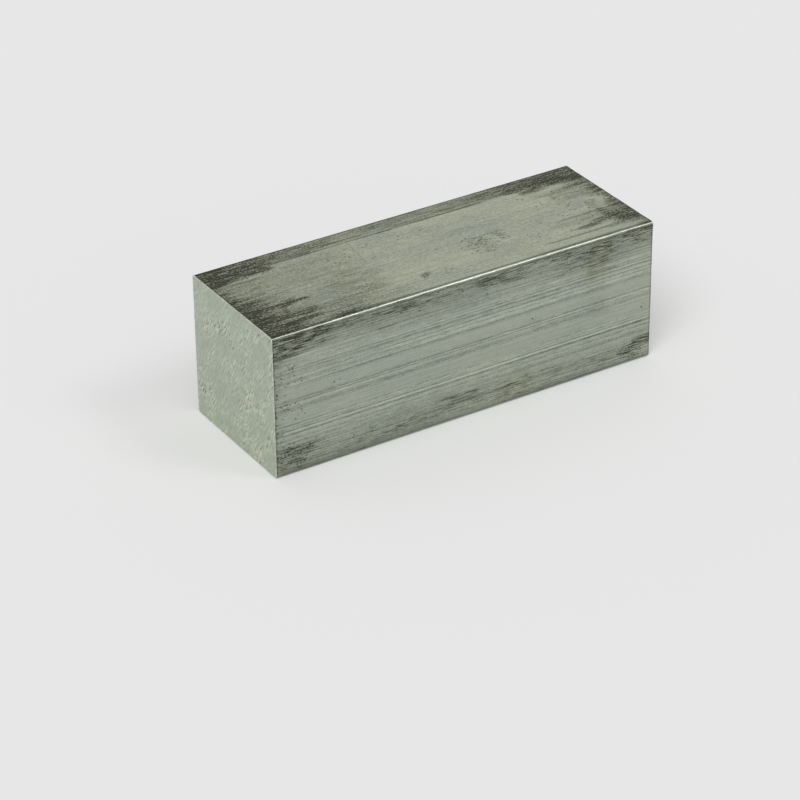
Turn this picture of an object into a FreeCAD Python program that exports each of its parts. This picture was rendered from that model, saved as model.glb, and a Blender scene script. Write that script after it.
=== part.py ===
"""A short block of square aluminium bar, sawn from a longer extruded length.

The block is one solid piece of metal. Its section is a square with small
rounded corners, which the extrusion die leaves along the whole length. Each
end is a flat saw cut, square to the bar, and the sharp edge round the cut has
been broken with a file, which leaves a narrow bevel.

Frame: +X along the bar, +Z up, millimetres. The origin is the middle of the
face that the block lies on. The die lines, saw marks, stains and nicks are
fine relief, too small to matter to the solid, and aren't modelled here.
"""

import FreeCAD
import Part

import os
from math import cos, radians, sin

# Driving dimensions, in millimetres.
LENGTH = 100.0          # sawn length, along X
WIDTH = 35.0            # across the bar, along Y
HEIGHT = 35.0           # thickness of the bar, along Z
CORNER_RADIUS = 0.8     # the four long edges, as extruded
SAWN_EDGE_BEVEL = 0.15  # the broken edge round each saw cut

TOUCHING = 1e-6         # how near an edge lies to the plane of a cut to be on it


def bar_section(x):
    """The bar's section as a closed face in the plane X = x, lying on Z = 0.

    Four straight sides are joined by four quarter circles. The corners are
    visited in turn, and each one gives the end points and the middle of its
    arc, so the sides run from one arc's end to the next arc's start.
    """
    half_width = WIDTH / 2
    # Each corner's arc centre, and the angle at which its arc starts.
    corners = [
        (half_width - CORNER_RADIUS, HEIGHT - CORNER_RADIUS, 0.0),
        (-half_width + CORNER_RADIUS, HEIGHT - CORNER_RADIUS, 90.0),
        (-half_width + CORNER_RADIUS, CORNER_RADIUS, 180.0),
        (half_width - CORNER_RADIUS, CORNER_RADIUS, 270.0),
    ]

    def on_arc(centre_y, centre_z, angle):
        return FreeCAD.Vector(
            x,
            centre_y + CORNER_RADIUS * cos(radians(angle)),
            centre_z + CORNER_RADIUS * sin(radians(angle)),
        )

    arcs = [
        [on_arc(y, z, start + turn) for turn in (0.0, 45.0, 90.0)]
        for y, z, start in corners
    ]
    edges = []
    for arc, next_arc in zip(arcs, arcs[1:] + arcs[:1]):
        edges.append(Part.Arc(*arc).toShape())
        edges.append(Part.LineSegment(arc[-1], next_arc[0]).toShape())
    return Part.Face(Part.Wire(edges))


def sawn_edges(bar):
    """The edges round both saw cuts: those that lie wholly in an end plane."""
    return [
        edge
        for edge in bar.Edges
        if abs(edge.BoundBox.XLength) < TOUCHING
        and abs(abs(edge.BoundBox.Center.x) - LENGTH / 2) < TOUCHING
    ]


def aluminium_block():
    """The bar's section carried along its length, with both sawn ends deburred."""
    bar = bar_section(-LENGTH / 2).extrude(FreeCAD.Vector(LENGTH, 0, 0))
    return bar.makeChamfer(SAWN_EDGE_BEVEL, sawn_edges(bar))


os.makedirs("parts", exist_ok=True)
aluminium_block().exportStep("parts/aluminium_block.step")
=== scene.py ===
"""The looks of a short block of square aluminium bar, sawn from a longer extruded length.

One closed skin stands for the whole block. Its long faces are mill finished: drawn lines from the
extrusion die, a dull oxide, and dark stains from handling and storage, with a painted highlight on the
crown of each rounded edge and painted shade beside those edges and in two broad patches on the top. Its
two ends are saw cuts, paler than the rest, with a narrow filed bevel round each, whose pale rim is partly
a painted highlight. Lengths are in millimetres until the mesh is written, which is in metres.
"""

import math

import bpy
import numpy as np
from mathutils import Matrix, Vector


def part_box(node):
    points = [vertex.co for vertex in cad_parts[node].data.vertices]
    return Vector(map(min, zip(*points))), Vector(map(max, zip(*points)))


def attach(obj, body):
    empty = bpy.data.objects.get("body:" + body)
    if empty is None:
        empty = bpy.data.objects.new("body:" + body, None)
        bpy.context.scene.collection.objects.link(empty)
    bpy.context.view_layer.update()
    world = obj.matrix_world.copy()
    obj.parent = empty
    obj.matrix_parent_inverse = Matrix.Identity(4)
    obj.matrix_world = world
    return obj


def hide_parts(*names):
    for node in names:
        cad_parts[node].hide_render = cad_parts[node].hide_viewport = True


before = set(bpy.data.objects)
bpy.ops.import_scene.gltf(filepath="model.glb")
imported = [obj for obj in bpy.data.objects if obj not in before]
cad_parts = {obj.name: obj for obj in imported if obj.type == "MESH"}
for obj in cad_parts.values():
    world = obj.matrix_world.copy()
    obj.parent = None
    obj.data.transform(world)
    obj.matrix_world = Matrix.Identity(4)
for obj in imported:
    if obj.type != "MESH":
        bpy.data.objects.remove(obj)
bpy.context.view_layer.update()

# ---------------------------------------------------------------- sizes, in millimetres

MM = 0.001
BLOCK_LOW, BLOCK_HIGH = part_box("aluminium_block")
LENGTH, WIDTH, HEIGHT = (BLOCK_HIGH - BLOCK_LOW) / MM
CORNER_RADIUS = 0.8      # the four long edges, as extruded
BEVEL = 0.15             # the filed edge round each saw cut

ARC_CELLS = 5            # mesh cells in half of a rounded long edge
FLAT_CELLS = 102         # mesh cells across the flat part of a side
STATIONS = 150           # mesh sections along the block
SIDE_CELLS = FLAT_CELLS + 2 * ARC_CELLS

LINE_HALF_WIDTH = 0.16   # a drawn line, from its middle to where it has nearly gone
GOUGE_HALF_WIDTH = 0.27  # the same for the strongest, past GOUGE_TONE
GOUGE_TONE = 1.35
LINE_DEPTH = 0.03        # the deepest drawn line
WAVE_DEPTH = 0.02        # slow hollows across a side
WAVE_LENGTH = 40         # from one hollow to the next, along the block
WAVE_WIDTH = 2.6         # the same, across the side
NICK_DEPTH = 0.12        # the deepest nick in a long edge
NICK_SPACING = 1.4       # from one place for a nick to the next
NICKED_PAST = 0.72       # the random height, from 0 to 1, past which an edge is nicked
CORNERS_APART = 17.3     # how far apart the four edges' random heights are taken
SAW_DEPTH = 0.03         # the relief of the saw cut
SAW_STROKE = (2.4, 0.55)   # one stroke of that relief, along and across the way that the saw ran
SAW_SWELL = (9, 5)         # and one swell
SCRATCH_CORE = 0.07      # a scratch's half width where it is darkest
SCRATCH_EDGE = 0.22      # and where it has gone
PIT_CELL = (0.8, 0.55, 0.55)   # the cells that may each hold a pit, along x, y and z
PIT_CORE, PIT_EDGE = 0.24, 0.46   # a pit's radius where it is darkest and where it has gone, in cells
SHALLOWEST_PIT = 0.5     # how deep the faintest pit is, beside the deepest
EDGE_DARK_HALF_WIDTH = 0.36  # the painted shade beside a rounded edge, and the darkening beside a saw cut
EDGE_DARK_OFFSET = 0.08      # how far its darkest line lies past where the edge begins to turn
RAGGED_ALONG, RAGGED_ACROSS = 7.0, 1.6   # the most that a patch's outline strays, from side to side
RAGGED_SHARE = 0.6                       # and the most as a share of the patch's size
FADE_ALONG, FADE_ACROSS = 5.0, 1.5       # the widest that a patch's outline fades
FADE_SHARE_ALONG, FADE_SHARE_ACROSS = 0.5, 0.55   # and the widest as shares of its size
LINE_FADE = 8.0          # how far a drawn line fades at its ends
BAND_FADE = 0.6          # how far a smooth band fades at its edges
BAND_UNLINED, BAND_UNPEBBLED = 0.65, 0.4   # the shares of lines and of pebbling that such a band lacks
SHARP_ANGLE = 30         # degrees between faces, past which an edge is shaded sharp

SAW_ANGLES = {"left_end": 122, "right_end": 74}   # the way the saw marks run, in degrees from +Y

# Each side, in order round the section: the way it faces and the way the section runs along it, as (y, z).
SIDES = {
    "underside": ((0, -1), (1, 0)),
    "far_side": ((1, 0), (0, 1)),
    "top": ((0, 1), (-1, 0)),
    "near_side": ((-1, 0), (0, -1)),
}

# How strongly each side shows its drawn lines and its pebbled oxide, how warm its grey is, and how strong
# the painted shade beside its rounded edges is.
LINED = {"underside": 0.6, "far_side": 0.85, "top": 0.4, "near_side": 1.0}
PEBBLED = {"underside": 0.8, "far_side": 0.6, "top": 0.75, "near_side": 0.5}
WARM = {"underside": 0.5, "far_side": 0.45, "top": 0.8, "near_side": 0.3}
EDGE_SHADE = {"underside": 0.7, "far_side": 0.7, "top": 1.0, "near_side": 0.6}

END_DARKENING = 0.9   # how dark the long faces are painted right beside the saw cuts

# Bands that the die left smooth, from across to across. They are painted a little paler too, a painted
# sheen.
SMOOTH_BANDS = {
    "near_side": [(12.8, 15.9), (19.0, 21.8)],
    "far_side": [(11.0, 14.2), (22.4, 25.0)],
    "underside": [(-6.2, -4.0), (4.4, 7.6)],
    "top": [],
}

# Drawn lines: place across the side, tone (below 0 dark, above 0 bright), and the stretch of X that
# shows it. Across is z on the near and far sides, and y on the top and the underside.
DRAWN_LINES = {
    "near_side": [
        (33.5, -0.6, -50, 50), (33.3, -1.5, -19.4, -13), (33.4, -1.4, 1, 15), (32.9, -2.0, 2.5, 9.4),
        (32.3, -0.9, -3, 14), (31.2, -1.6, 9.4, 14.4), (31.0, -0.4, -50, 50), (29.4, -2.4, -50, -42.5),
        (29.3, -1.8, -23.7, -19.4), (29.5, -0.5, -50, -8), (28.1, -0.4, -20, 50), (25.8, 1.2, -50, 50),
        (25.4, -0.7, -50, 50), (24.8, 0.7, -34, 50), (24.5, -0.5, -50, 36), (23.7, 1.2, -20, 50),
        (23.3, -0.6, -20, 50), (22.8, 0.7, -12, 50), (27.2, 0.6, -4, 50), (26.5, 0.5, -24, 50),
        (22.2, -0.8, -36, 50), (18.5, -0.7, -50, 40), (16.4, -0.8, -50, 38), (12.4, 0.6, -30, 50),
        (11.3, -0.5, -50, 50), (10.7, 1.3, -50, 50), (10.2, -0.7, -50, 50), (9.1, -0.4, -44, 50),
        (7.9, -0.4, 0, 50), (6.3, -2.2, -7.5, -3.1), (6.2, -2.2, -1.2, 2.5), (5.5, -2.6, -45.6, -40.6),
        (5.1, -2.4, -5, 1.3), (4.8, -1.0, -49, -33), (4.5, -2.0, -3, 2.5), (3.7, -1.9, -6.8, -3.1),
        (3.4, -2.2, -46.8, -43), (2.3, -1.2, -43, -30), (2.3, -0.5, -50, 0), (0.9, -0.7, -50, 50),
    ],
    "top": [
        (12.0, -2.2, -32.5, 23), (11.9, -2.0, -6, -2), (12.0, -2.0, 8, 22), (10.3, -2.2, -50, -43),
        (13.5, -1.3, 11, 19), (15.2, -0.9, -8, 6), (14.6, -0.5, -6, 40), (16.2, -0.5, -20, 30),
        (-9.1, 0.6, -40, 0), (-10.4, -0.5, -36, -2), (-12.7, 0.9, -46, -18), (-13.5, -1.7, -44.4, -35.6),
        (-5.7, -2.2, 32, 49.4), (-8.9, 1.0, 38, 48), (-11.0, -1.4, 30.6, 38), (-12.6, 1.2, 37, 50),
        (-13.6, -1.3, 24, 44.4), (5.2, 0.3, -36, -22), (4.1, -0.4, -8, 12),
    ],
    "far_side": [
        (33.2, -0.6, -50, 50), (31.2, -1.4, -6, 12), (29.4, 0.9, -50, 50), (29.0, -0.8, -50, 50),
        (26.6, -1.8, 22, 31), (24.8, -0.5, -30, 50), (21.3, 0.8, -50, 34), (20.9, -0.7, -50, 50),
        (15.6, -0.7, -50, 50), (14.9, 0.5, -12, 50), (9.7, 1.2, -50, 50), (9.2, -0.9, -50, 50),
        (6.2, -0.8, -50, 10), (5.4, -2.2, 14, 19), (4.4, -2.0, 10, 15), (3.8, -1.8, -38, -31),
        (2.1, -0.7, -50, 50),
    ],
    "underside": [
        (-14.6, -0.8, -50, 50), (-13.2, -2.0, -28, -20), (-12.2, 0.7, -50, 22), (-7.9, -0.6, -50, 50),
        (-3.1, 0.9, -50, 50), (-2.7, -0.8, -50, 50), (2.6, -0.6, -20, 50), (8.4, 0.7, -50, 50),
        (8.9, -0.8, -50, 50), (11.6, -2.0, 16, 24), (13.7, -1.1, -50, 50),
    ],
}

# Stains: from x to x, from across to across, and how strong, from 0 to 1. The first two on the top are
# painted
# shade instead: broad and faint across its whole width, they darken it towards its left end. On an end the
# places are y and z, and the mark is where the saw tore the metal instead of cutting it cleanly.
STAINS_AND_SHADE = {
    "near_side": [
        (-56, 56, 28.8, 37, 0.15), (-56, 56, 31.6, 37, 0.13), (-56, -38, 30, 35, 0.34),
        (-56, -44, 29, 31.4, 0.24), (-38, -22, 31.4, 34.3, 0.05), (-22, -12, 32.1, 34.0, 0.13),
        (0.6, 15.6, 31, 34.1, 0.14), (2.5, 9.4, 32.6, 33.9, 0.16), (19, 30, 32.4, 34.2, 0.10),
        (28.8, 36.9, 31.8, 34, 0.12), (36, 44, 32.4, 34.3, 0.14), (43.4, 56, 31, 34.6, 0.26),
        (31, 38, 15, 33, 0.15), (25, 40, 26, 33, 0.12), (-56, 56, -2, 6.2, 0.17),
        (-56, -40, 4.2, 6.8, 0.17), (-56, -43, 2.4, 4.4, 0.19), (-50, -18, 0, 3.6, 0.08),
        (-22, 12, 2.0, 7.0, 0.09), (9.4, 16.5, 0, 8, 0.12), (20, 25, 0, 6, 0.09), (28, 40, -1, 8, 0.10),
        (41.6, 47, 1.4, 5.7, 0.30), (46.4, 56, 4.1, 6.8, 0.38), (-56, -48.6, 6, 31, 0.22),
        (-56, -34, 5, 31, 0.05), (41, 56, 5, 31, 0.06),
    ],
    "top": [
        # The first two are painted shade, darkening the top towards its left end; the rest are stains.
        (-56, -16, -20, 20, 0.18), (-56, -38, -20, 20, 0.14), (-56, -33, 9.6, 20, 0.66),
        (-56, -43, 9.8, 20, 0.70), (-34, 34, 12.0, 20, 0.34), (20, 56, 11.4, 20, 0.22),
        (31, 56, 10.0, 20, 0.47), (43, 56, 7, 20, 0.36), (-56, -44, -20, -12.5, 0.36),
        (34, 48, 10.8, 15, 0.50), (-56, -46.6, -20, 1.5, 0.60), (-56, -43, -20, 0.8, 0.32),
        (-56, -48, 0, 11, 0.40), (-56, -34.6, -6.2, -4.3, 0.74), (-41.8, -40.4, -10, -6, 0.46),
        (-56, -36.4, -12.2, -9.9, 0.78), (-44.6, -35.4, -14.1, -13.0, 0.62),
        (-56, -41.6, -16.6, -13.6, 0.46), (-40, -12, -20, -9.4, 0.15), (-27, -11, -10, 1, 0.09),
        (-46, -20, -20, 9, 0.06), (36, 56, -11.5, -9.3, 0.46), (44.4, 56, -12, -8.6, 0.66),
        (42.4, 44.6, -9, 0, 0.28), (36, 56, 1.6, 8, 0.24), (47.4, 56, -20, 20, 0.50),
        (44, 56, -20, -7, 0.36), (31, 56, -8.8, -5.2, 0.22), (24, 46, -14.2, -13, 0.28),
        (-31, -27, 15.4, 17, 0.42), (8.4, 14, -9, -1, 0.17), (15.8, 18.8, -6.6, -1.2, 0.17),
        (-8, -5.6, -11.8, -10.2, 0.34), (34, 56, -20, 12, 0.05), (-56, -20, -20, -16.1, 0.36),
        (18, 56, -20, -16.4, 0.26),
    ],
    "far_side": [
        (-56, 56, 30.2, 38, 0.20), (-56, -39, 28, 34.4, 0.42), (8, 26, 31, 34, 0.28),
        (36, 56, 27.6, 34.6, 0.36), (-56, -45, 0, 12, 0.28), (-56, 56, 0, 5.0, 0.18),
        (-24, -6, 1.5, 4.4, 0.32), (28, 44, 3, 8, 0.22), (-16, -12, 18, 19, 0.4), (41, 56, 12, 16, 0.34),
        (0, 8, 22.5, 23.4, 0.34), (-6, 0, 5, 28, 0.14), (48.4, 56, 4, 30, 0.26),
    ],
    "underside": [
        (-56, 56, -20, -13, 0.26), (-56, -38, -20, 0, 0.44), (-56, -30, 7, 20, 0.36),
        (36, 56, -9, 20, 0.42), (-12, 20, 2, 11, 0.24), (12, 26, -8, -4, 0.4), (-56, 56, 14.5, 20, 0.3),
        (-26, -8, -4, -2, 0.4), (-4, 6, -15, -11, 0.3),
    ],
    "left_end": [
        (3.4, 6.8, 25.4, 28.6, 0.9), (-9.4, -6.4, 11.8, 14.6, 0.7), (9, 12.6, 7.4, 9.6, 0.9),
        (13.8, 15.6, 6.4, 8.2, 0.9), (-2.6, 2.2, 24.4, 28.2, 0.6), (-6.2, -3, 20.4, 23.6, 0.6),
        (-15, -11, 8, 12, 0.5), (-4, 0, 10, 15, 0.5),
    ],
    "right_end": [
        (-8, -3, 22, 26, 0.8), (5, 9, 8, 12, 0.8), (-15, -11, 4, 8, 0.8), (10, 14, 27, 30, 0.7),
    ],
}

# Pitted areas, in the same form. The strength is the share of the places for a pit that have one.
PITS = {
    "near_side": [
        (-50, -42, 12, 27, 0.12), (-52, -49, 10, 27, 0.95), (-49, -40, 2, 8, 0.85),
        (-56, 56, 30, 35, 0.05), (42, 48, 1, 6, 0.6), (-49.3, -47.5, 16.4, 18.0, 1),
        (-47.4, -45.6, 15.9, 17.5, 1), (-45.5, -43.7, 15.9, 17.5, 1), (-35.6, -33.8, 19.0, 20.6, 1),
        (-45.9, -44.1, 25.4, 27.0, 1), (-44.0, -42.2, 22.0, 23.6, 1), (16.3, 18.1, 19.2, 20.8, 1),
        (46.9, 48.7, 13.7, 15.3, 1), (-48.9, -47.1, 7.9, 9.5, 1), (-30.2, -28.4, 4.5, 6.1, 1),
        (-26.5, -24.7, 4.4, 6.0, 1),
    ],
    "top": [
        (8.0, 14.0, -9.2, -0.8, 0.85), (15.6, 19.0, -6.8, -1.2, 0.95), (10.6, 12.8, -8.9, -6.7, 1),
        (-56, -34, 9, 20, 0.5), (-7.8, -6.0, -12, -10.2, 1), (-3.2, -1.4, -12, -10.2, 1),
        (-33, -28, -17, -12, 0.4), (-12, 8, 3, 8, 0.07), (30, 56, -12, 8, 0.2), (-56, -40, -17, -12, 0.4),
        (-22, -12, 2, 10, 0.12), (22, 26, -11, -7, 0.3),
    ],
    "far_side": [(-30, -18, 20, 26, 0.18), (10, 40, 9, 20, 0.03), (-50, -44, 4, 20, 0.08)],
    "underside": [(-20, 10, -12, 10, 0.10), (30, 50, -16, 16, 0.25)],
}

# Khaki smudges, in the same form: the grey is as warm there as it gets.
SMUDGES = {
    "near_side": [(30.5, 37.5, 25, 34, 0.9), (9, 17, 0, 8, 0.5)],
    "top": [(-30, -22, -4, 8, 0.6), (14, 26, -16, -9, 0.8)],
    "far_side": [(-6, 2, 4, 28, 0.7)],
    "underside": [(-12, 20, 2, 11, 0.6)],
}

# Scratches, each from one point on the surface to another.
TOP_Z, NEAR_Y, FAR_Y = HEIGHT, -WIDTH / 2, WIDTH / 2
SCRATCHES = [
    ((-13.7, 11.8, TOP_Z), (-14.2, 6.0, TOP_Z)),
    ((-14.2, 6.0, TOP_Z), (-15.0, 1.2, TOP_Z)),
    ((-19.3, 2.6, TOP_Z), (-18.7, 1.0, TOP_Z)),
    ((-18.7, 1.0, TOP_Z), (-17.2, 0.0, TOP_Z)),
    ((-8.0, -12.0, TOP_Z), (-5.8, -10.3, TOP_Z)),
    ((23.0, -10.0, TOP_Z), (25.3, -7.8, TOP_Z)),
    ((-7.5, NEAR_Y, 23.2), (-6.0, NEAR_Y, 22.8)),
    ((22.0, FAR_Y, 26.0), (31.0, FAR_Y, 11.5)),
    ((-34.0, FAR_Y, 17.0), (-28.5, FAR_Y, 15.6)),
]

# ---------------------------------------------------------------- shapes as functions of whole arrays


def smooth(t):
    """0 below 0, 1 above 1, and 3t² - 2t³ between."""
    t = np.clip(t, 0, 1)
    return t * t * (3 - 2 * t)


def window(value, start, end, fade):
    """Near 1 inside start to end, half at both, and smoothly 0 at half the distance fade outside them."""
    return smooth((value - start) / fade + 0.5) * smooth((end - value) / fade + 0.5)


def bell(distance, half_width):
    """1 at no distance, falling as a Gaussian to a seventh at the half width."""
    return np.exp(-2 * (distance / half_width) ** 2)


def uneven(u, v, seed):
    """A smooth random height from 0 to 1: random values at whole numbers, blended smoothly between."""
    values = np.random.default_rng(seed).random((128, 128))
    u, v = np.broadcast_arrays(u, v)
    column, row = np.floor(u).astype(int), np.floor(v).astype(int)
    across, up = smooth(u - column), smooth(v - row)
    near = values[column % 128, row % 128] * (1 - across) + values[(column + 1) % 128, row % 128] * across
    far = (
        values[column % 128, (row + 1) % 128] * (1 - across)
        + values[(column + 1) % 128, (row + 1) % 128] * across
    )
    return near * (1 - up) + far * up


def patches(listed, u, v, seed):
    """What the listed patches leave together: 1 less the product of what each lets through.

    A patch is a window in u times a window in v. Both places are first moved by a smooth random
    amount, up to half of the RAGGED size either way, so its outline is ragged.
    """
    ragged_u = uneven(u / 5, v / 1.1, seed) - 0.5
    ragged_v = uneven(u / 6 + 40, v / 3 + 40, seed + 1) - 0.5
    let_through = np.ones(np.broadcast(u, v).shape)
    for u_from, u_to, v_from, v_to, strength in listed:
        wide, high = u_to - u_from, v_to - v_from
        u_there = u + min(RAGGED_ALONG, RAGGED_SHARE * wide) * ragged_u
        v_there = v + min(RAGGED_ACROSS, RAGGED_SHARE * high) * ragged_v
        patch = window(u_there, u_from, u_to, min(FADE_ALONG, FADE_SHARE_ALONG * wide))
        patch = patch * window(v_there, v_from, v_to, min(FADE_ACROSS, FADE_SHARE_ACROSS * high))
        let_through = let_through * (1 - strength * patch)
    return 1 - let_through


def drawn_lines(side, x, across):
    """Each line's tone times a bell across it and a window along it, summed."""
    found = np.zeros(np.broadcast(x, across).shape)
    for place, tone, x_from, x_to in DRAWN_LINES[side]:
        shown = window(x, x_from, x_to, min(LINE_FADE, 0.5 * (x_to - x_from)))
        half_width = GOUGE_HALF_WIDTH if abs(tone) > GOUGE_TONE else LINE_HALF_WIDTH
        found = found + tone * bell(across - place, half_width) * shown
    return found


def crowded_places(half, cells, crowding):
    """cells + 1 places from -half to half, closer together where the function crowding is higher.

    The running sum of the crowding is scaled to go from 0 to 1, and the places are where it
    reaches equal steps.
    """
    fine = np.linspace(-half, half, 8001)
    density = crowding(fine)
    running = np.concatenate([[0], np.cumsum((density[1:] + density[:-1]) / 2)])
    return np.interp(np.linspace(0, 1, cells + 1), running / running[-1], fine)


def side_profile(side):
    """One side of the section, from the middle of one rounded edge to the middle of the next.

    A point is its distance along the side and its distance out from the middle. On a rounded edge
    both are the arc's centre plus the radius times the sine and cosine of the turn, which goes
    from 45 degrees to 0 before the flat and back to 45 degrees after it.
    """
    facing, run = (np.array(way, float) for way in SIDES[side])
    half_run, half_out = (WIDTH / 2, HEIGHT / 2) if run[0] else (HEIGHT / 2, WIDTH / 2)
    half_flat = half_run - CORNER_RADIUS

    def crowding(along):
        """1, and up to 3 more at each drawn line and beside the rounded edges."""
        across = along * (run[0] + run[1]) + (HEIGHT / 2 if run[1] else 0)
        density = 1 + 3 * bell(half_flat - np.abs(along), 2 * EDGE_DARK_HALF_WIDTH)
        for place, tone, _, _ in DRAWN_LINES[side]:
            density = density + min(3.0, 2.5 * abs(tone)) * bell(across - place, 2 * LINE_HALF_WIDTH)
        return density

    flat = crowded_places(half_flat, FLAT_CELLS, crowding)
    quarter = np.linspace(math.pi / 4, 0, ARC_CELLS + 1)[:-1]
    turn = np.concatenate([-quarter, np.zeros(FLAT_CELLS + 1), quarter[::-1]])
    centre = np.concatenate([np.full(ARC_CELLS, -half_flat), flat, np.full(ARC_CELLS, half_flat)])
    along = centre + CORNER_RADIUS * np.sin(turn)
    out = half_out - CORNER_RADIUS + CORNER_RADIUS * np.cos(turn)
    middle = np.array([0, HEIGHT / 2])
    place = middle + along[:, None] * run + out[:, None] * facing
    normal = np.sin(turn)[:, None] * run + np.cos(turn)[:, None] * facing
    rounded = np.abs(turn) / (math.pi / 4)
    # How far the point is from where the edge begins to turn: on the flat above 0, on the arc below.
    from_edge = half_flat - np.abs(centre) - CORNER_RADIUS * np.abs(turn)
    # Painted shade: a dark line beside each rounded edge, where it begins to turn, standing for the dark
    # reflection there.
    edge_darkening = EDGE_SHADE[side] * bell(from_edge + EDGE_DARK_OFFSET, EDGE_DARK_HALF_WIDTH)
    return {
        "place": place[:-1], "normal": normal[:-1], "across": (place @ np.abs(run))[:-1],
        "rounded": rounded[:-1], "edge_darkening": edge_darkening[:-1],
    }


def side_marks(order, side, x, across):
    """The marks that the finish reads on one side, at each section and each place across."""
    x, across = x[:, None], across[None, :]
    band = np.zeros((x.size, across.size))
    for band_from, band_to in SMOOTH_BANDS[side]:
        band = np.maximum(band, window(across, band_from, band_to, BAND_FADE))
    warm = WARM[side] + (1 - WARM[side]) * patches(SMUDGES[side], x, across, 60 + 4 * order)
    return {
        "drawn_line": drawn_lines(side, x, across),
        "stain_and_shade": patches(STAINS_AND_SHADE[side], x, across, 61 + 4 * order),
        "pitted": patches(PITS[side], x, across, 62 + 4 * order),
        "lined": LINED[side] * (1 - BAND_UNLINED * band),
        "pebbled": PEBBLED[side] * (1 - BAND_UNPEBBLED * band),
        "smooth_band_and_sheen": band,
        "warm": warm,
    }


def long_face_depth(x, profiles, drawn, rounded):
    """How far in each point of the long faces lies: slow hollows, plus drawn lines, plus nicked edges.

    A hollow is a smooth random height. A line is as deep as its tone is strong, bright or dark, up
    to a tone of 1. A nick is another random height's smooth step from NICKED_PAST to 1, times the
    square of how rounded the place is.
    """
    hollows = [
        uneven(x[:, None] / WAVE_LENGTH, profile["across"][None, :] / WAVE_WIDTH, 20 + order)
        for order, profile in enumerate(profiles)
    ]
    corner = np.round(np.arange(len(rounded)) / SIDE_CELLS)
    nick = uneven(x[:, None] / NICK_SPACING, corner[None, :] * CORNERS_APART, 31)
    nicked = smooth((nick - NICKED_PAST) / (1 - NICKED_PAST))
    return (
        WAVE_DEPTH * np.concatenate(hollows, axis=1)
        + LINE_DEPTH * np.minimum(np.abs(drawn), 1)
        + NICK_DEPTH * rounded**2 * nicked
    )


def block_skin():
    """The whole block's surface as points, faces, the finish of each face, and marks at the points.

    The long faces are a grid of sections by places round the section. Its first and last sections
    are the rims of the saw cuts, drawn in by the bevel. Each end is a square grid whose border is
    that rim, so the skin is closed.
    """
    profiles = [side_profile(side) for side in SIDES]
    place, normal, rounded, edge_darkening = (
        np.concatenate([profile[what] for profile in profiles])
        for what in ("place", "normal", "rounded", "edge_darkening")
    )
    around = len(place)

    half = LENGTH / 2 - BEVEL
    x = crowded_places(half, STATIONS - 1, lambda along: 1 + 4 * bell(half - np.abs(along), 1.5))
    sides = [
        side_marks(order, side, x, profile["across"])
        for order, (side, profile) in enumerate(zip(SIDES, profiles))
    ]
    marks = {name: np.concatenate([side[name] for side in sides], axis=1) for name in sides[0]}
    to_end = half - np.abs(x)[:, None]
    # The long faces are darkened beside each rounded edge, which is painted shade, and right beside each saw
    # cut.
    marks["edge_darkening"] = np.maximum(edge_darkening[None, :], END_DARKENING * bell(to_end, EDGE_DARK_HALF_WIDTH))
    # How rounded each place is: it masks the painted highlight on the edges' crowns and the pale rim of each
    # saw cut.
    marks["edge_wear_and_highlight"] = np.broadcast_to(rounded, (STATIONS, around))

    depth = long_face_depth(x, profiles, marks["drawn_line"], rounded)

    def ring(section_x, section_depth):
        """A section's points: the profile moved in along its normal by the depth."""
        inner = place - normal * section_depth[:, None]
        return np.column_stack([np.broadcast_to(section_x, around), inner])

    # The bevel's width wanders by nearly a third either way round the rim.
    girth = np.arange(around) / around * 2 * (WIDTH + HEIGHT)
    left_bevel, right_bevel = (
        BEVEL * (0.7 + 0.6 * uneven(girth / 1.7, girth / 9, seed)) for seed in (11, 12)
    )
    rows = [ring(station, dip) for station, dip in zip(x, depth)]
    left_rim = ring(-LENGTH / 2, depth[0] + left_bevel)
    right_rim = ring(LENGTH / 2, depth[-1] + right_bevel)
    rows[0][:, 0] = -LENGTH / 2 + left_bevel
    rows[-1][:, 0] = LENGTH / 2 - right_bevel
    rows = [left_rim, *rows, right_rim]

    shell = len(rows) * around
    border = np.arange(around + 1) % around
    left_grid, left_inner = end_grid(left_rim, border, shell)
    right_grid, right_inner = end_grid(right_rim, border, shell + len(left_inner), shell - around)
    points = np.concatenate([*rows, left_inner, right_inner])

    # A rim takes the marks of the section beside it, and the middles of the ends start with none.
    inner_count = len(points) - shell
    for name, values in marks.items():
        with_rims = np.concatenate([values[:1], values, values[-1:]])
        if name == "edge_wear_and_highlight":
            with_rims[[0, -1]] = 1
        marks[name] = np.concatenate([with_rims.ravel(), np.zeros(inner_count)])
    saw_places = along_the_cut(points)
    for end, grid in (("left_end", left_grid), ("right_end", right_grid)):
        own = np.unique(grid)
        points[own, 0] -= np.sign(points[own, 0]) * saw_relief(saw_places[own])
        inner = own[own >= shell]
        marks["stain_and_shade"][inner] = patches(STAINS_AND_SHADE[end], points[inner, 1], points[inner, 2], 80)

    corners = np.arange(shell).reshape(len(rows), around)
    following = np.roll(corners, -1, axis=1)
    long_faces = np.stack([corners[:-1], following[:-1], following[1:], corners[1:]], axis=-1)
    finish = np.zeros(long_faces.shape[:2], int)
    finish[[0, -1]] = 1
    faces = np.concatenate([long_faces.reshape(-1, 4), quads(left_grid)[:, ::-1], quads(right_grid)])
    finish = np.concatenate([finish.ravel(), np.ones(len(faces) - finish.size, int)])
    return points, faces, finish, marks, saw_places


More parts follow.
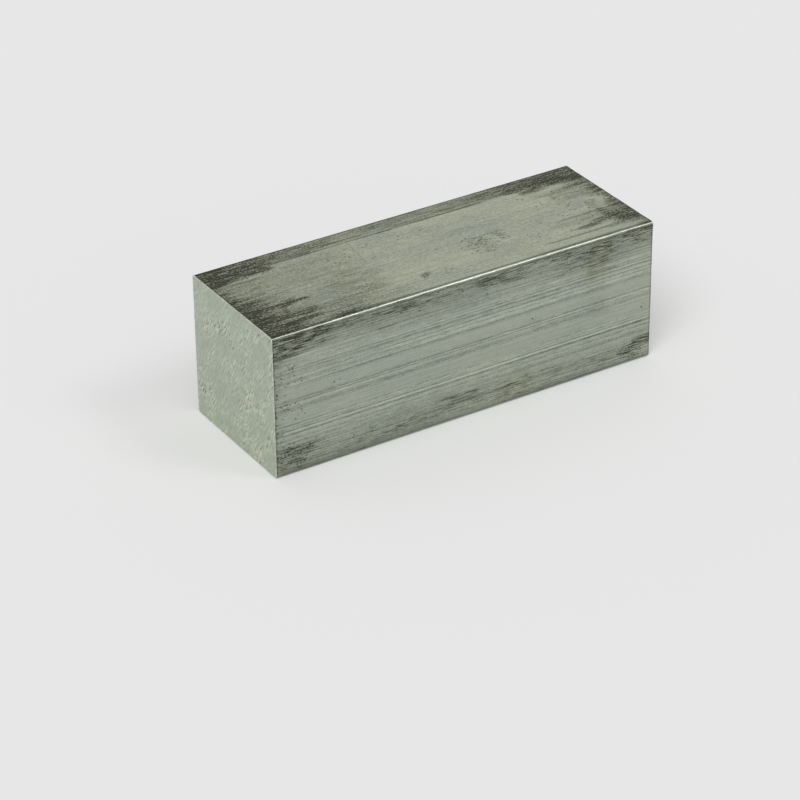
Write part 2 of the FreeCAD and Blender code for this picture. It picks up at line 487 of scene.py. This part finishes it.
def end_grid(rim, border, first_new, rim_first=0):
    """A square grid of point numbers over one saw cut, and the places of its inner points.

    The grid is stretched between the four edges of the rim: an inner point is the blend of the
    lower and upper edges plus the blend of the near and far edges, less the blend of the corners.
    The inner points are numbered from first_new, and the rim's from rim_first.
    """
    n = SIDE_CELLS
    lower, far = border[: n + 1], border[n: 2 * n + 1]
    upper, near = border[2 * n: 3 * n + 1][::-1], border[3 * n: 4 * n + 1][::-1]
    a, b = np.meshgrid(np.linspace(0, 1, n + 1), np.linspace(0, 1, n + 1), indexing="ij")
    a, b = a[..., None], b[..., None]
    blend = (
        (1 - b) * rim[lower][:, None] + b * rim[upper][:, None]
        + (1 - a) * rim[near][None] + a * rim[far][None]
        - (1 - a) * (1 - b) * rim[lower[0]] - a * (1 - b) * rim[lower[-1]]
        - (1 - a) * b * rim[upper[0]] - a * b * rim[upper[-1]]
    )
    grid = np.empty((n + 1, n + 1), int)
    grid[1:-1, 1:-1] = first_new + np.arange((n - 1) ** 2).reshape(n - 1, n - 1)
    grid[:, 0], grid[:, -1] = lower + rim_first, upper + rim_first
    grid[0, :], grid[-1, :] = near + rim_first, far + rim_first
    return grid, blend[1:-1, 1:-1].reshape(-1, 3)


def quads(grid):
    """The four point numbers round each cell of a grid of point numbers."""
    return np.stack([grid[:-1, :-1], grid[1:, :-1], grid[1:, 1:], grid[:-1, 1:]], axis=-1).reshape(-1, 4)


def along_the_cut(points):
    """Each point's place along and across the way that the nearer end's saw ran, and its x."""
    x, y, z = points.T
    angle = np.radians(np.where(x < 0, SAW_ANGLES["left_end"], SAW_ANGLES["right_end"]))
    along = y * np.cos(angle) + z * np.sin(angle)
    across = z * np.cos(angle) - y * np.sin(angle)
    return np.column_stack([along, across, x])


def saw_relief(saw_places):
    """Short shallow strokes: random heights, stretched along the way that the saw ran."""
    along, across, end = saw_places.T
    strokes = uneven(along / SAW_STROKE[0] + 60, across / SAW_STROKE[1] + end, 41)
    swells = uneven(along / SAW_SWELL[0] + 60, across / SAW_SWELL[1] + end, 42)
    return SAW_DEPTH * (0.6 * strokes + 0.4 * swells)


def block_piece():
    """The skin as a mesh object, in metres."""
    points, faces, finish, marks, saw_places = block_skin()
    mesh = bpy.data.meshes.new("sawn_bar")
    mesh.from_pydata(points * MM, [], faces)
    for name, values in marks.items():
        layer = mesh.attributes.new(name, "FLOAT", "POINT")
        layer.data.foreach_set("value", values.astype(np.float32))
    layer = mesh.attributes.new("saw_place", "FLOAT_VECTOR", "POINT")
    layer.data.foreach_set("vector", (saw_places * MM).astype(np.float32).ravel())
    mesh.materials.append(mill_finish_aluminium())
    mesh.materials.append(saw_cut_aluminium())
    mesh.polygons.foreach_set("material_index", finish.astype(np.int32))
    mesh.shade_smooth()
    mesh.set_sharp_from_angle(angle=math.radians(SHARP_ANGLE))
    mesh.validate()
    piece = bpy.data.objects.new("sawn_bar", mesh)
    bpy.context.scene.collection.objects.link(piece)
    return piece


# ---------------------------------------------------------------- materials

MIX_A, MIX_B, MIX_RESULT = 6, 7, 2                  # a Mix node's colour sockets, by number
COLOUR = {"data_type": "RGBA"}                      # makes a Mix node blend colours
SMOOTH_STEP = {"interpolation_type": "SMOOTHSTEP"}  # makes a Map Range node ease in and out


def linear(colour):
    """An sRGB hex colour as linear red, green, blue and alpha."""
    parts = [int(colour[i: i + 2], 16) / 255 for i in (1, 3, 5)]
    return [c / 12.92 if c <= 0.04045 else ((c + 0.055) / 1.055) ** 2.4 for c in parts] + [1.0]


def new_material(name):
    """A material with no nodes yet, and its node tree."""
    material = bpy.data.materials.new(name)
    material.use_nodes = True
    material.node_tree.nodes.clear()
    return material, material.node_tree


def add(tree, kind, inputs=None, **settings):
    """Adds a node, sets its settings, and sets or links its inputs by name or number."""
    node = tree.nodes.new(kind)
    for name, value in settings.items():
        setattr(node, name, value)
    for name, value in (inputs or {}).items():
        if isinstance(value, bpy.types.NodeSocket):
            tree.links.new(value, node.inputs[name])
        else:
            node.inputs[name].default_value = value
    return node


def grain(tree, place, size, detail, offset):
    """A random pattern centred on 0, whose grains are size millimetres along each axis."""
    sized = add(tree, "ShaderNodeMapping", {
        "Vector": place, "Location": [offset * MM] * 3, "Scale": [s * MM for s in size],
    }, vector_type="TEXTURE")
    noise = add(tree, "ShaderNodeTexNoise", {
        "Vector": sized.outputs[0], "Scale": 1.0, "Detail": detail, "Roughness": 0.6})
    return add(tree, "ShaderNodeMath", {0: noise.outputs["Fac"], 1: 0.5}, operation="SUBTRACT").outputs[0]


def weighed(tree, *terms):
    """The sum of values, each times its weight."""
    total = 0.0
    for value, weight in terms:
        summed = add(tree, "ShaderNodeMath", {0: value, 1: weight, 2: total}, operation="MULTIPLY_ADD")
        total = summed.outputs[0]
    return total


def pits(tree, place, pitted):
    """A round spot in those random cells whose own number is under the pitted mark.

    How deep the pit is, from SHALLOWEST_PIT to 1, comes from a second random number of its cell.
    """
    cells = add(tree, "ShaderNodeMapping", {
        "Vector": place, "Scale": [s * MM for s in PIT_CELL]}, vector_type="TEXTURE")
    spots = add(tree, "ShaderNodeTexVoronoi", {"Vector": cells.outputs[0], "Scale": 1.0})
    numbers = add(tree, "ShaderNodeSeparateColor", {"Color": spots.outputs["Color"]}).outputs
    chosen = add(tree, "ShaderNodeMath", {0: numbers[0], 1: pitted}, operation="LESS_THAN").outputs[0]
    depth = weighed(tree, (1.0, SHALLOWEST_PIT), (numbers[1], 1 - SHALLOWEST_PIT))
    chosen = add(tree, "ShaderNodeMath", {0: chosen, 1: depth}, operation="MULTIPLY").outputs[0]
    spot = add(tree, "ShaderNodeMapRange", {
        "Value": spots.outputs["Distance"], "From Min": PIT_EDGE, "From Max": PIT_CORE,
    }, **SMOOTH_STEP).outputs[0]
    return add(tree, "ShaderNodeMath", {0: chosen, 1: spot}, operation="MULTIPLY").outputs[0]


def scratches(tree, place):
    """1 on each scratch, easing to 0 from SCRATCH_CORE to SCRATCH_EDGE from its line's nearest point."""
    found = 0.0
    for start, end in SCRATCHES:
        way = (Vector(end) - Vector(start)) * MM
        offset = add(tree, "ShaderNodeVectorMath", {0: place, 1: Vector(start) * MM}, operation="SUBTRACT")
        share = add(tree, "ShaderNodeVectorMath", {
            0: offset.outputs[0], 1: way / way.length_squared}, operation="DOT_PRODUCT")
        held = add(tree, "ShaderNodeClamp", {0: share.outputs["Value"]})
        nearest = add(tree, "ShaderNodeVectorMath", {0: way, "Scale": held.outputs[0]}, operation="SCALE")
        gap = add(tree, "ShaderNodeVectorMath", {
            0: offset.outputs[0], 1: nearest.outputs[0]}, operation="DISTANCE")
        mark = add(tree, "ShaderNodeMapRange", {
            "Value": gap.outputs["Value"], "From Min": SCRATCH_EDGE * MM, "From Max": SCRATCH_CORE * MM,
        }, **SMOOTH_STEP)
        found = add(tree, "ShaderNodeMath", {0: found, 1: mark.outputs[0]}, operation="MAXIMUM").outputs[0]
    return found


def mill_finish_aluminium():
    """Extruded aluminium as it leaves the die, then handled and stored.

    To the eye it is a dull grey-green metal, ruled with fine lines along the bar, faintly pebbled
    and mottled by its oxide, with brown-black stains that break up into dashes and specks. Painted on it
    too: a highlight on the crown of each rounded edge, partly polish, shade in a dark line beside each edge
    and in broad patches on the top, and a faint sheen on the smooth bands.
    """
    material, tree = new_material("mill_finish_extruded_aluminium")
    place = add(tree, "ShaderNodeTexCoord").outputs["Object"]
    line, stain_and_shade, pitted, edge_wear_and_highlight, edge_darkening, lined, pebbled, smooth_band_and_sheen, warm = (
        add(tree, "ShaderNodeAttribute", attribute_name=name).outputs["Fac"]
        for name in (
            "drawn_line", "stain_and_shade", "pitted", "edge_wear_and_highlight", "edge_darkening", "lined", "pebbled", "smooth_band_and_sheen", "warm"))

    # Die lines are really hundredths of a millimetre apart. These are as fine as still shows.
    fine_lines = grain(tree, place, (150, 0.29, 0.29), 1.0, 0)
    broad_lines = grain(tree, place, (480, 3.0, 3.0), 1.0, 300)
    mottle = grain(tree, place, (0.55, 0.40, 0.40), 3.0, 500)
    clouds = grain(tree, place, (17, 8, 8), 2.0, 700)
    streaks = grain(tree, place, (9, 1.0, 1.0), 3.0, 900)
    dashes = grain(tree, place, (3.2, 0.24, 0.24), 2.0, 1100)
    speckle = grain(tree, place, (0.5, 0.38, 0.38), 2.0, 1300)

    shown = add(tree, "ShaderNodeMath", {0: fine_lines, 1: lined}, operation="MULTIPLY").outputs[0]
    dashed = add(tree, "ShaderNodeMath", {0: dashes, 1: lined}, operation="MULTIPLY").outputs[0]
    pebbles = add(tree, "ShaderNodeMath", {0: mottle, 1: pebbled}, operation="MULTIPLY").outputs[0]
    shade = add(tree, "ShaderNodeMath", {0: clouds, 1: pebbled}, operation="MULTIPLY").outputs[0]
    # The smooth bands are painted a little paler: a painted sheen for their brighter reflection.
    tone = weighed(
        tree, (shown, 1.25), (dashed, 1.0), (broad_lines, 0.12), (pebbles, 1.6), (shade, 0.75), (line, 0.32),
        (smooth_band_and_sheen, 0.07))
    warm_clouds = add(tree, "ShaderNodeMath", {0: clouds, 1: warm}, operation="MULTIPLY").outputs[0]
    warmth = weighed(tree, (warm, 1.0), (warm_clouds, 2.4))
    tint = add(tree, "ShaderNodeMix", {
        0: warmth, MIX_A: linear("#A0A89D"), MIX_B: linear("#A1A591")}, **COLOUR).outputs[MIX_RESULT]
    lit = add(tree, "ShaderNodeMath", {0: tone, 1: 1.0}, operation="ADD").outputs[0]
    lit = add(tree, "ShaderNodeMath", {0: lit, 1: 0.2}, operation="MAXIMUM").outputs[0]
    metal = add(tree, "ShaderNodeVectorMath", {0: tint, "Scale": lit}, operation="SCALE").outputs[0]

    # A stain is broken up into dashes where the metal is lined, and into specks where it is pebbled.
    specks = add(tree, "ShaderNodeMath", {0: speckle, 1: pebbled}, operation="MULTIPLY").outputs[0]
    broken = weighed(tree, (streaks, 2.0), (dashed, 7.0), (specks, 4.8))
    worn = add(tree, "ShaderNodeMath", {0: broken, 1: 1.0}, operation="ADD").outputs[0]
    dirt_and_shade = add(tree, "ShaderNodeMath", {0: stain_and_shade, 1: worn}, operation="MULTIPLY").outputs[0]
    # The dark film lies over the stains and over the painted shade patches on the top.
    dark_film_and_shade = add(tree, "ShaderNodeMapRange", {
        "Value": dirt_and_shade, "From Min": 0.0, "From Max": 0.75, "To Max": 0.94}, **SMOOTH_STEP).outputs[0]
    crust = add(tree, "ShaderNodeMapRange", {
        "Value": dirt_and_shade, "From Min": 0.45, "From Max": 1.15, "To Max": 0.85}, **SMOOTH_STEP).outputs[0]
    metal = add(tree, "ShaderNodeMix", {
        0: dark_film_and_shade, MIX_A: metal, MIX_B: linear("#50533F")}, **COLOUR).outputs[MIX_RESULT]
    metal = add(tree, "ShaderNodeMix", {
        0: crust, MIX_A: metal, MIX_B: linear("#2A2C1F")}, **COLOUR).outputs[MIX_RESULT]

    pit = pits(tree, place, pitted)
    scratch = scratches(tree, place)
    # Pits and scratches are dark in their hollows; the edge darkening, painted shade along the rounded
    # edges, uses the same dark grey.
    pits_scratches_and_edge_darkening = weighed(tree, (pit, 1.0), (scratch, 0.24), (edge_darkening, 0.68))
    metal = add(tree, "ShaderNodeMix", {
        0: pits_scratches_and_edge_darkening, MIX_A: metal, MIX_B: linear("#303428")}, **COLOUR).outputs[MIX_RESULT]

    # Painted highlight: the crown of each rounded edge is painted pale, partly for polish from handling and
    # partly for the lamp's highlight along it.
    crown_polish_and_highlight = add(tree, "ShaderNodeMapRange", {
        "Value": edge_wear_and_highlight, "From Min": 0.66, "From Max": 1.0, "To Max": 0.85}, **SMOOTH_STEP).outputs[0]
    metal = add(tree, "ShaderNodeMix", {
        0: crown_polish_and_highlight, MIX_A: metal, MIX_B: linear("#C9CDC1")}, **COLOUR).outputs[MIX_RESULT]

    height = weighed(tree, (shown, 0.7), (pebbles, 0.5), (pit, -1.0), (scratch, -0.8))
    bump = add(tree, "ShaderNodeBump", {"Height": height, "Distance": 0.03 * MM, "Strength": 1.0})
    rough = weighed(tree, (dark_film_and_shade, 0.2), (mottle, 0.2), (crown_polish_and_highlight, -0.12))
    shader = add(tree, "ShaderNodeBsdfPrincipled", {
        "Base Color": metal, "Metallic": 0.85, "Normal": bump.outputs[0],
        "Roughness": add(tree, "ShaderNodeMath", {0: rough, 1: 0.42}, operation="ADD").outputs[0]})
    add(tree, "ShaderNodeOutputMaterial", {"Surface": shader.outputs[0]})
    return material


def saw_cut_aluminium():
    """Aluminium as the saw leaves it: clean, pale and matt, with short slanting strokes and torn flecks."""
    material, tree = new_material("saw_cut_aluminium")
    place = add(tree, "ShaderNodeAttribute", attribute_name="saw_place").outputs["Vector"]
    stain_and_shade, edge_wear_and_highlight = (
        add(tree, "ShaderNodeAttribute", attribute_name=name).outputs["Fac"] for name in ("stain_and_shade", "edge_wear_and_highlight"))

    # A saw's tooth marks are about a tenth of a millimetre apart. These are as fine as still shows.
    strokes = grain(tree, place, (2.4, 0.42, 1.0), 3.0, 0)
    chips = grain(tree, place, (0.9, 0.45, 1.0), 2.0, 300)
    swells = grain(tree, place, (8, 4.5, 10.0), 2.0, 500)

    # The blade chattered in some places and cut cleanly in others.
    chatter = add(tree, "ShaderNodeMapRange", {
        "Value": weighed(tree, (swells, 1.0), (stain_and_shade, 0.12)), "From Min": -0.14, "From Max": 0.18,
        "To Min": 0.5, "To Max": 1.25}, **SMOOTH_STEP).outputs[0]
    marks = weighed(tree, (strokes, 1.25), (chips, 1.15))
    rough_marks = add(tree, "ShaderNodeMath", {0: marks, 1: chatter}, operation="MULTIPLY").outputs[0]
    tone = weighed(tree, (rough_marks, 1.0), (swells, 0.42))
    tint = add(tree, "ShaderNodeMix", {
        0: weighed(tree, (swells, 3.0), (edge_wear_and_highlight, 0.5)),
        MIX_A: linear("#B4BDAC"), MIX_B: linear("#BABCAB")}, **COLOUR).outputs[MIX_RESULT]
    lit = add(tree, "ShaderNodeMath", {0: tone, 1: 1.0}, operation="ADD").outputs[0]
    metal = add(tree, "ShaderNodeVectorMath", {0: tint, "Scale": lit}, operation="SCALE").outputs[0]

    torn = weighed(tree, (rough_marks, -0.7), (stain_and_shade, 0.12))
    fleck = add(tree, "ShaderNodeMapRange", {
        "Value": torn, "From Min": 0.1, "From Max": 0.26, "To Max": 0.75}, **SMOOTH_STEP).outputs[0]
    metal = add(tree, "ShaderNodeMix", {
        0: fleck, MIX_A: metal, MIX_B: linear("#7B8274")}, **COLOUR).outputs[MIX_RESULT]
    # The rim of each saw cut is painted pale: partly filed bright metal, partly a painted highlight where
    # the bevel catches the lamp.
    filed_rim_and_highlight = add(tree, "ShaderNodeMath", {0: edge_wear_and_highlight, 1: 0.6}, operation="MULTIPLY").outputs[0]
    metal = add(tree, "ShaderNodeMix", {
        0: filed_rim_and_highlight, MIX_A: metal, MIX_B: linear("#CDD2C4")}, **COLOUR).outputs[MIX_RESULT]

    height = weighed(tree, (strokes, 1.0), (chips, 0.6), (fleck, -0.5))
    bump = add(tree, "ShaderNodeBump", {"Height": height, "Distance": 0.035 * MM, "Strength": 1.0})
    shader = add(tree, "ShaderNodeBsdfPrincipled", {
        "Base Color": metal, "Metallic": 0.85, "Normal": bump.outputs[0],
        "Roughness": add(tree, "ShaderNodeMath", {0: chips, 1: 0.5}, operation="ADD").outputs[0]})
    add(tree, "ShaderNodeOutputMaterial", {"Surface": shader.outputs[0]})
    return material


# ---------------------------------------------------------------- the studio

FLOOR_SIZE = 4000        # each way
FLOOR_DROP = 0.02        # how far the floor lies under the block, so that the two don't share a plane


def pale_floor():
    """A flat matt floor, wide enough to fill the view."""
    half = FLOOR_SIZE / 2 * MM
    level = -FLOOR_DROP * MM
    mesh = bpy.data.meshes.new("floor")
    corners = [(-half, -half, level), (half, -half, level), (half, half, level), (-half, half, level)]
    mesh.from_pydata(corners, [], [(0, 1, 2, 3)])
    material, tree = new_material("matt_painted_board")
    shader = add(tree, "ShaderNodeBsdfDiffuse", {"Color": linear("#F0F0F0")})
    add(tree, "ShaderNodeOutputMaterial", {"Surface": shader.outputs[0]})
    mesh.materials.append(material)
    floor = bpy.data.objects.new("floor", mesh)
    bpy.context.scene.collection.objects.link(floor)


def soft_lamp(name, towards, strength, spread):
    """A soft lamp far away, in the direction towards, spread over that many degrees of the sky."""
    lamp = bpy.data.lights.new(name, "SUN")
    lamp.energy = strength
    lamp.angle = math.radians(spread)
    holder = bpy.data.objects.new(name, lamp)
    holder.rotation_euler = Vector(towards).to_track_quat("Z", "Y").to_euler()
    bpy.context.scene.collection.objects.link(holder)


def pale_world(background, light):
    """A plain pale room: what the camera and shiny metal see, and the light that it gives."""
    world = bpy.data.worlds.new("studio")
    world.use_nodes = True
    tree = world.node_tree
    tree.nodes.clear()
    ray = add(tree, "ShaderNodeLightPath")
    seen = ray.outputs["Is Camera Ray"]
    for kind in ("Is Glossy Ray", "Is Transmission Ray"):
        seen = add(tree, "ShaderNodeMath", {0: seen, 1: ray.outputs[kind]}, operation="MAXIMUM").outputs[0]
    strength = add(tree, "ShaderNodeMapRange", {"Value": seen, "To Min": light, "To Max": background})
    shown = add(tree, "ShaderNodeBackground", {"Color": (1, 1, 1, 1), "Strength": strength.outputs[0]})
    add(tree, "ShaderNodeOutputWorld", {"Surface": shown.outputs[0]})
    bpy.context.scene.world = world


def camera():
    """A long lens, a little above the block, off its near left corner."""
    place = (-0.334258, -0.527853, 0.361657)   # in metres
    azimuth, elevation, roll = (math.radians(a) for a in (-31.775, 30.368, -0.643))
    data = bpy.data.cameras.new("camera")
    data.lens = 141.8
    data.sensor_width = 36.0
    holder = bpy.data.objects.new("camera", data)
    holder.matrix_world = (
        Matrix.Translation(place)
        @ Matrix.Rotation(azimuth, 4, "Z")
        @ Matrix.Rotation(math.pi / 2 - elevation, 4, "X")
        @ Matrix.Rotation(roll, 4, "Z")
    )
    bpy.context.scene.collection.objects.link(holder)
    bpy.context.scene.camera = holder


block = block_piece()
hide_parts("aluminium_block")
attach(block, "root")

pale_floor()
pale_world(background=0.87, light=0.55)
soft_lamp("key", towards=(-0.5, -0.45, 0.8), strength=1.2, spread=35)
soft_lamp("edge_light", towards=(0.454, -0.506, 0.734), strength=0.34, spread=20)
camera()
bpy.context.scene.view_settings.view_transform = "Standard"
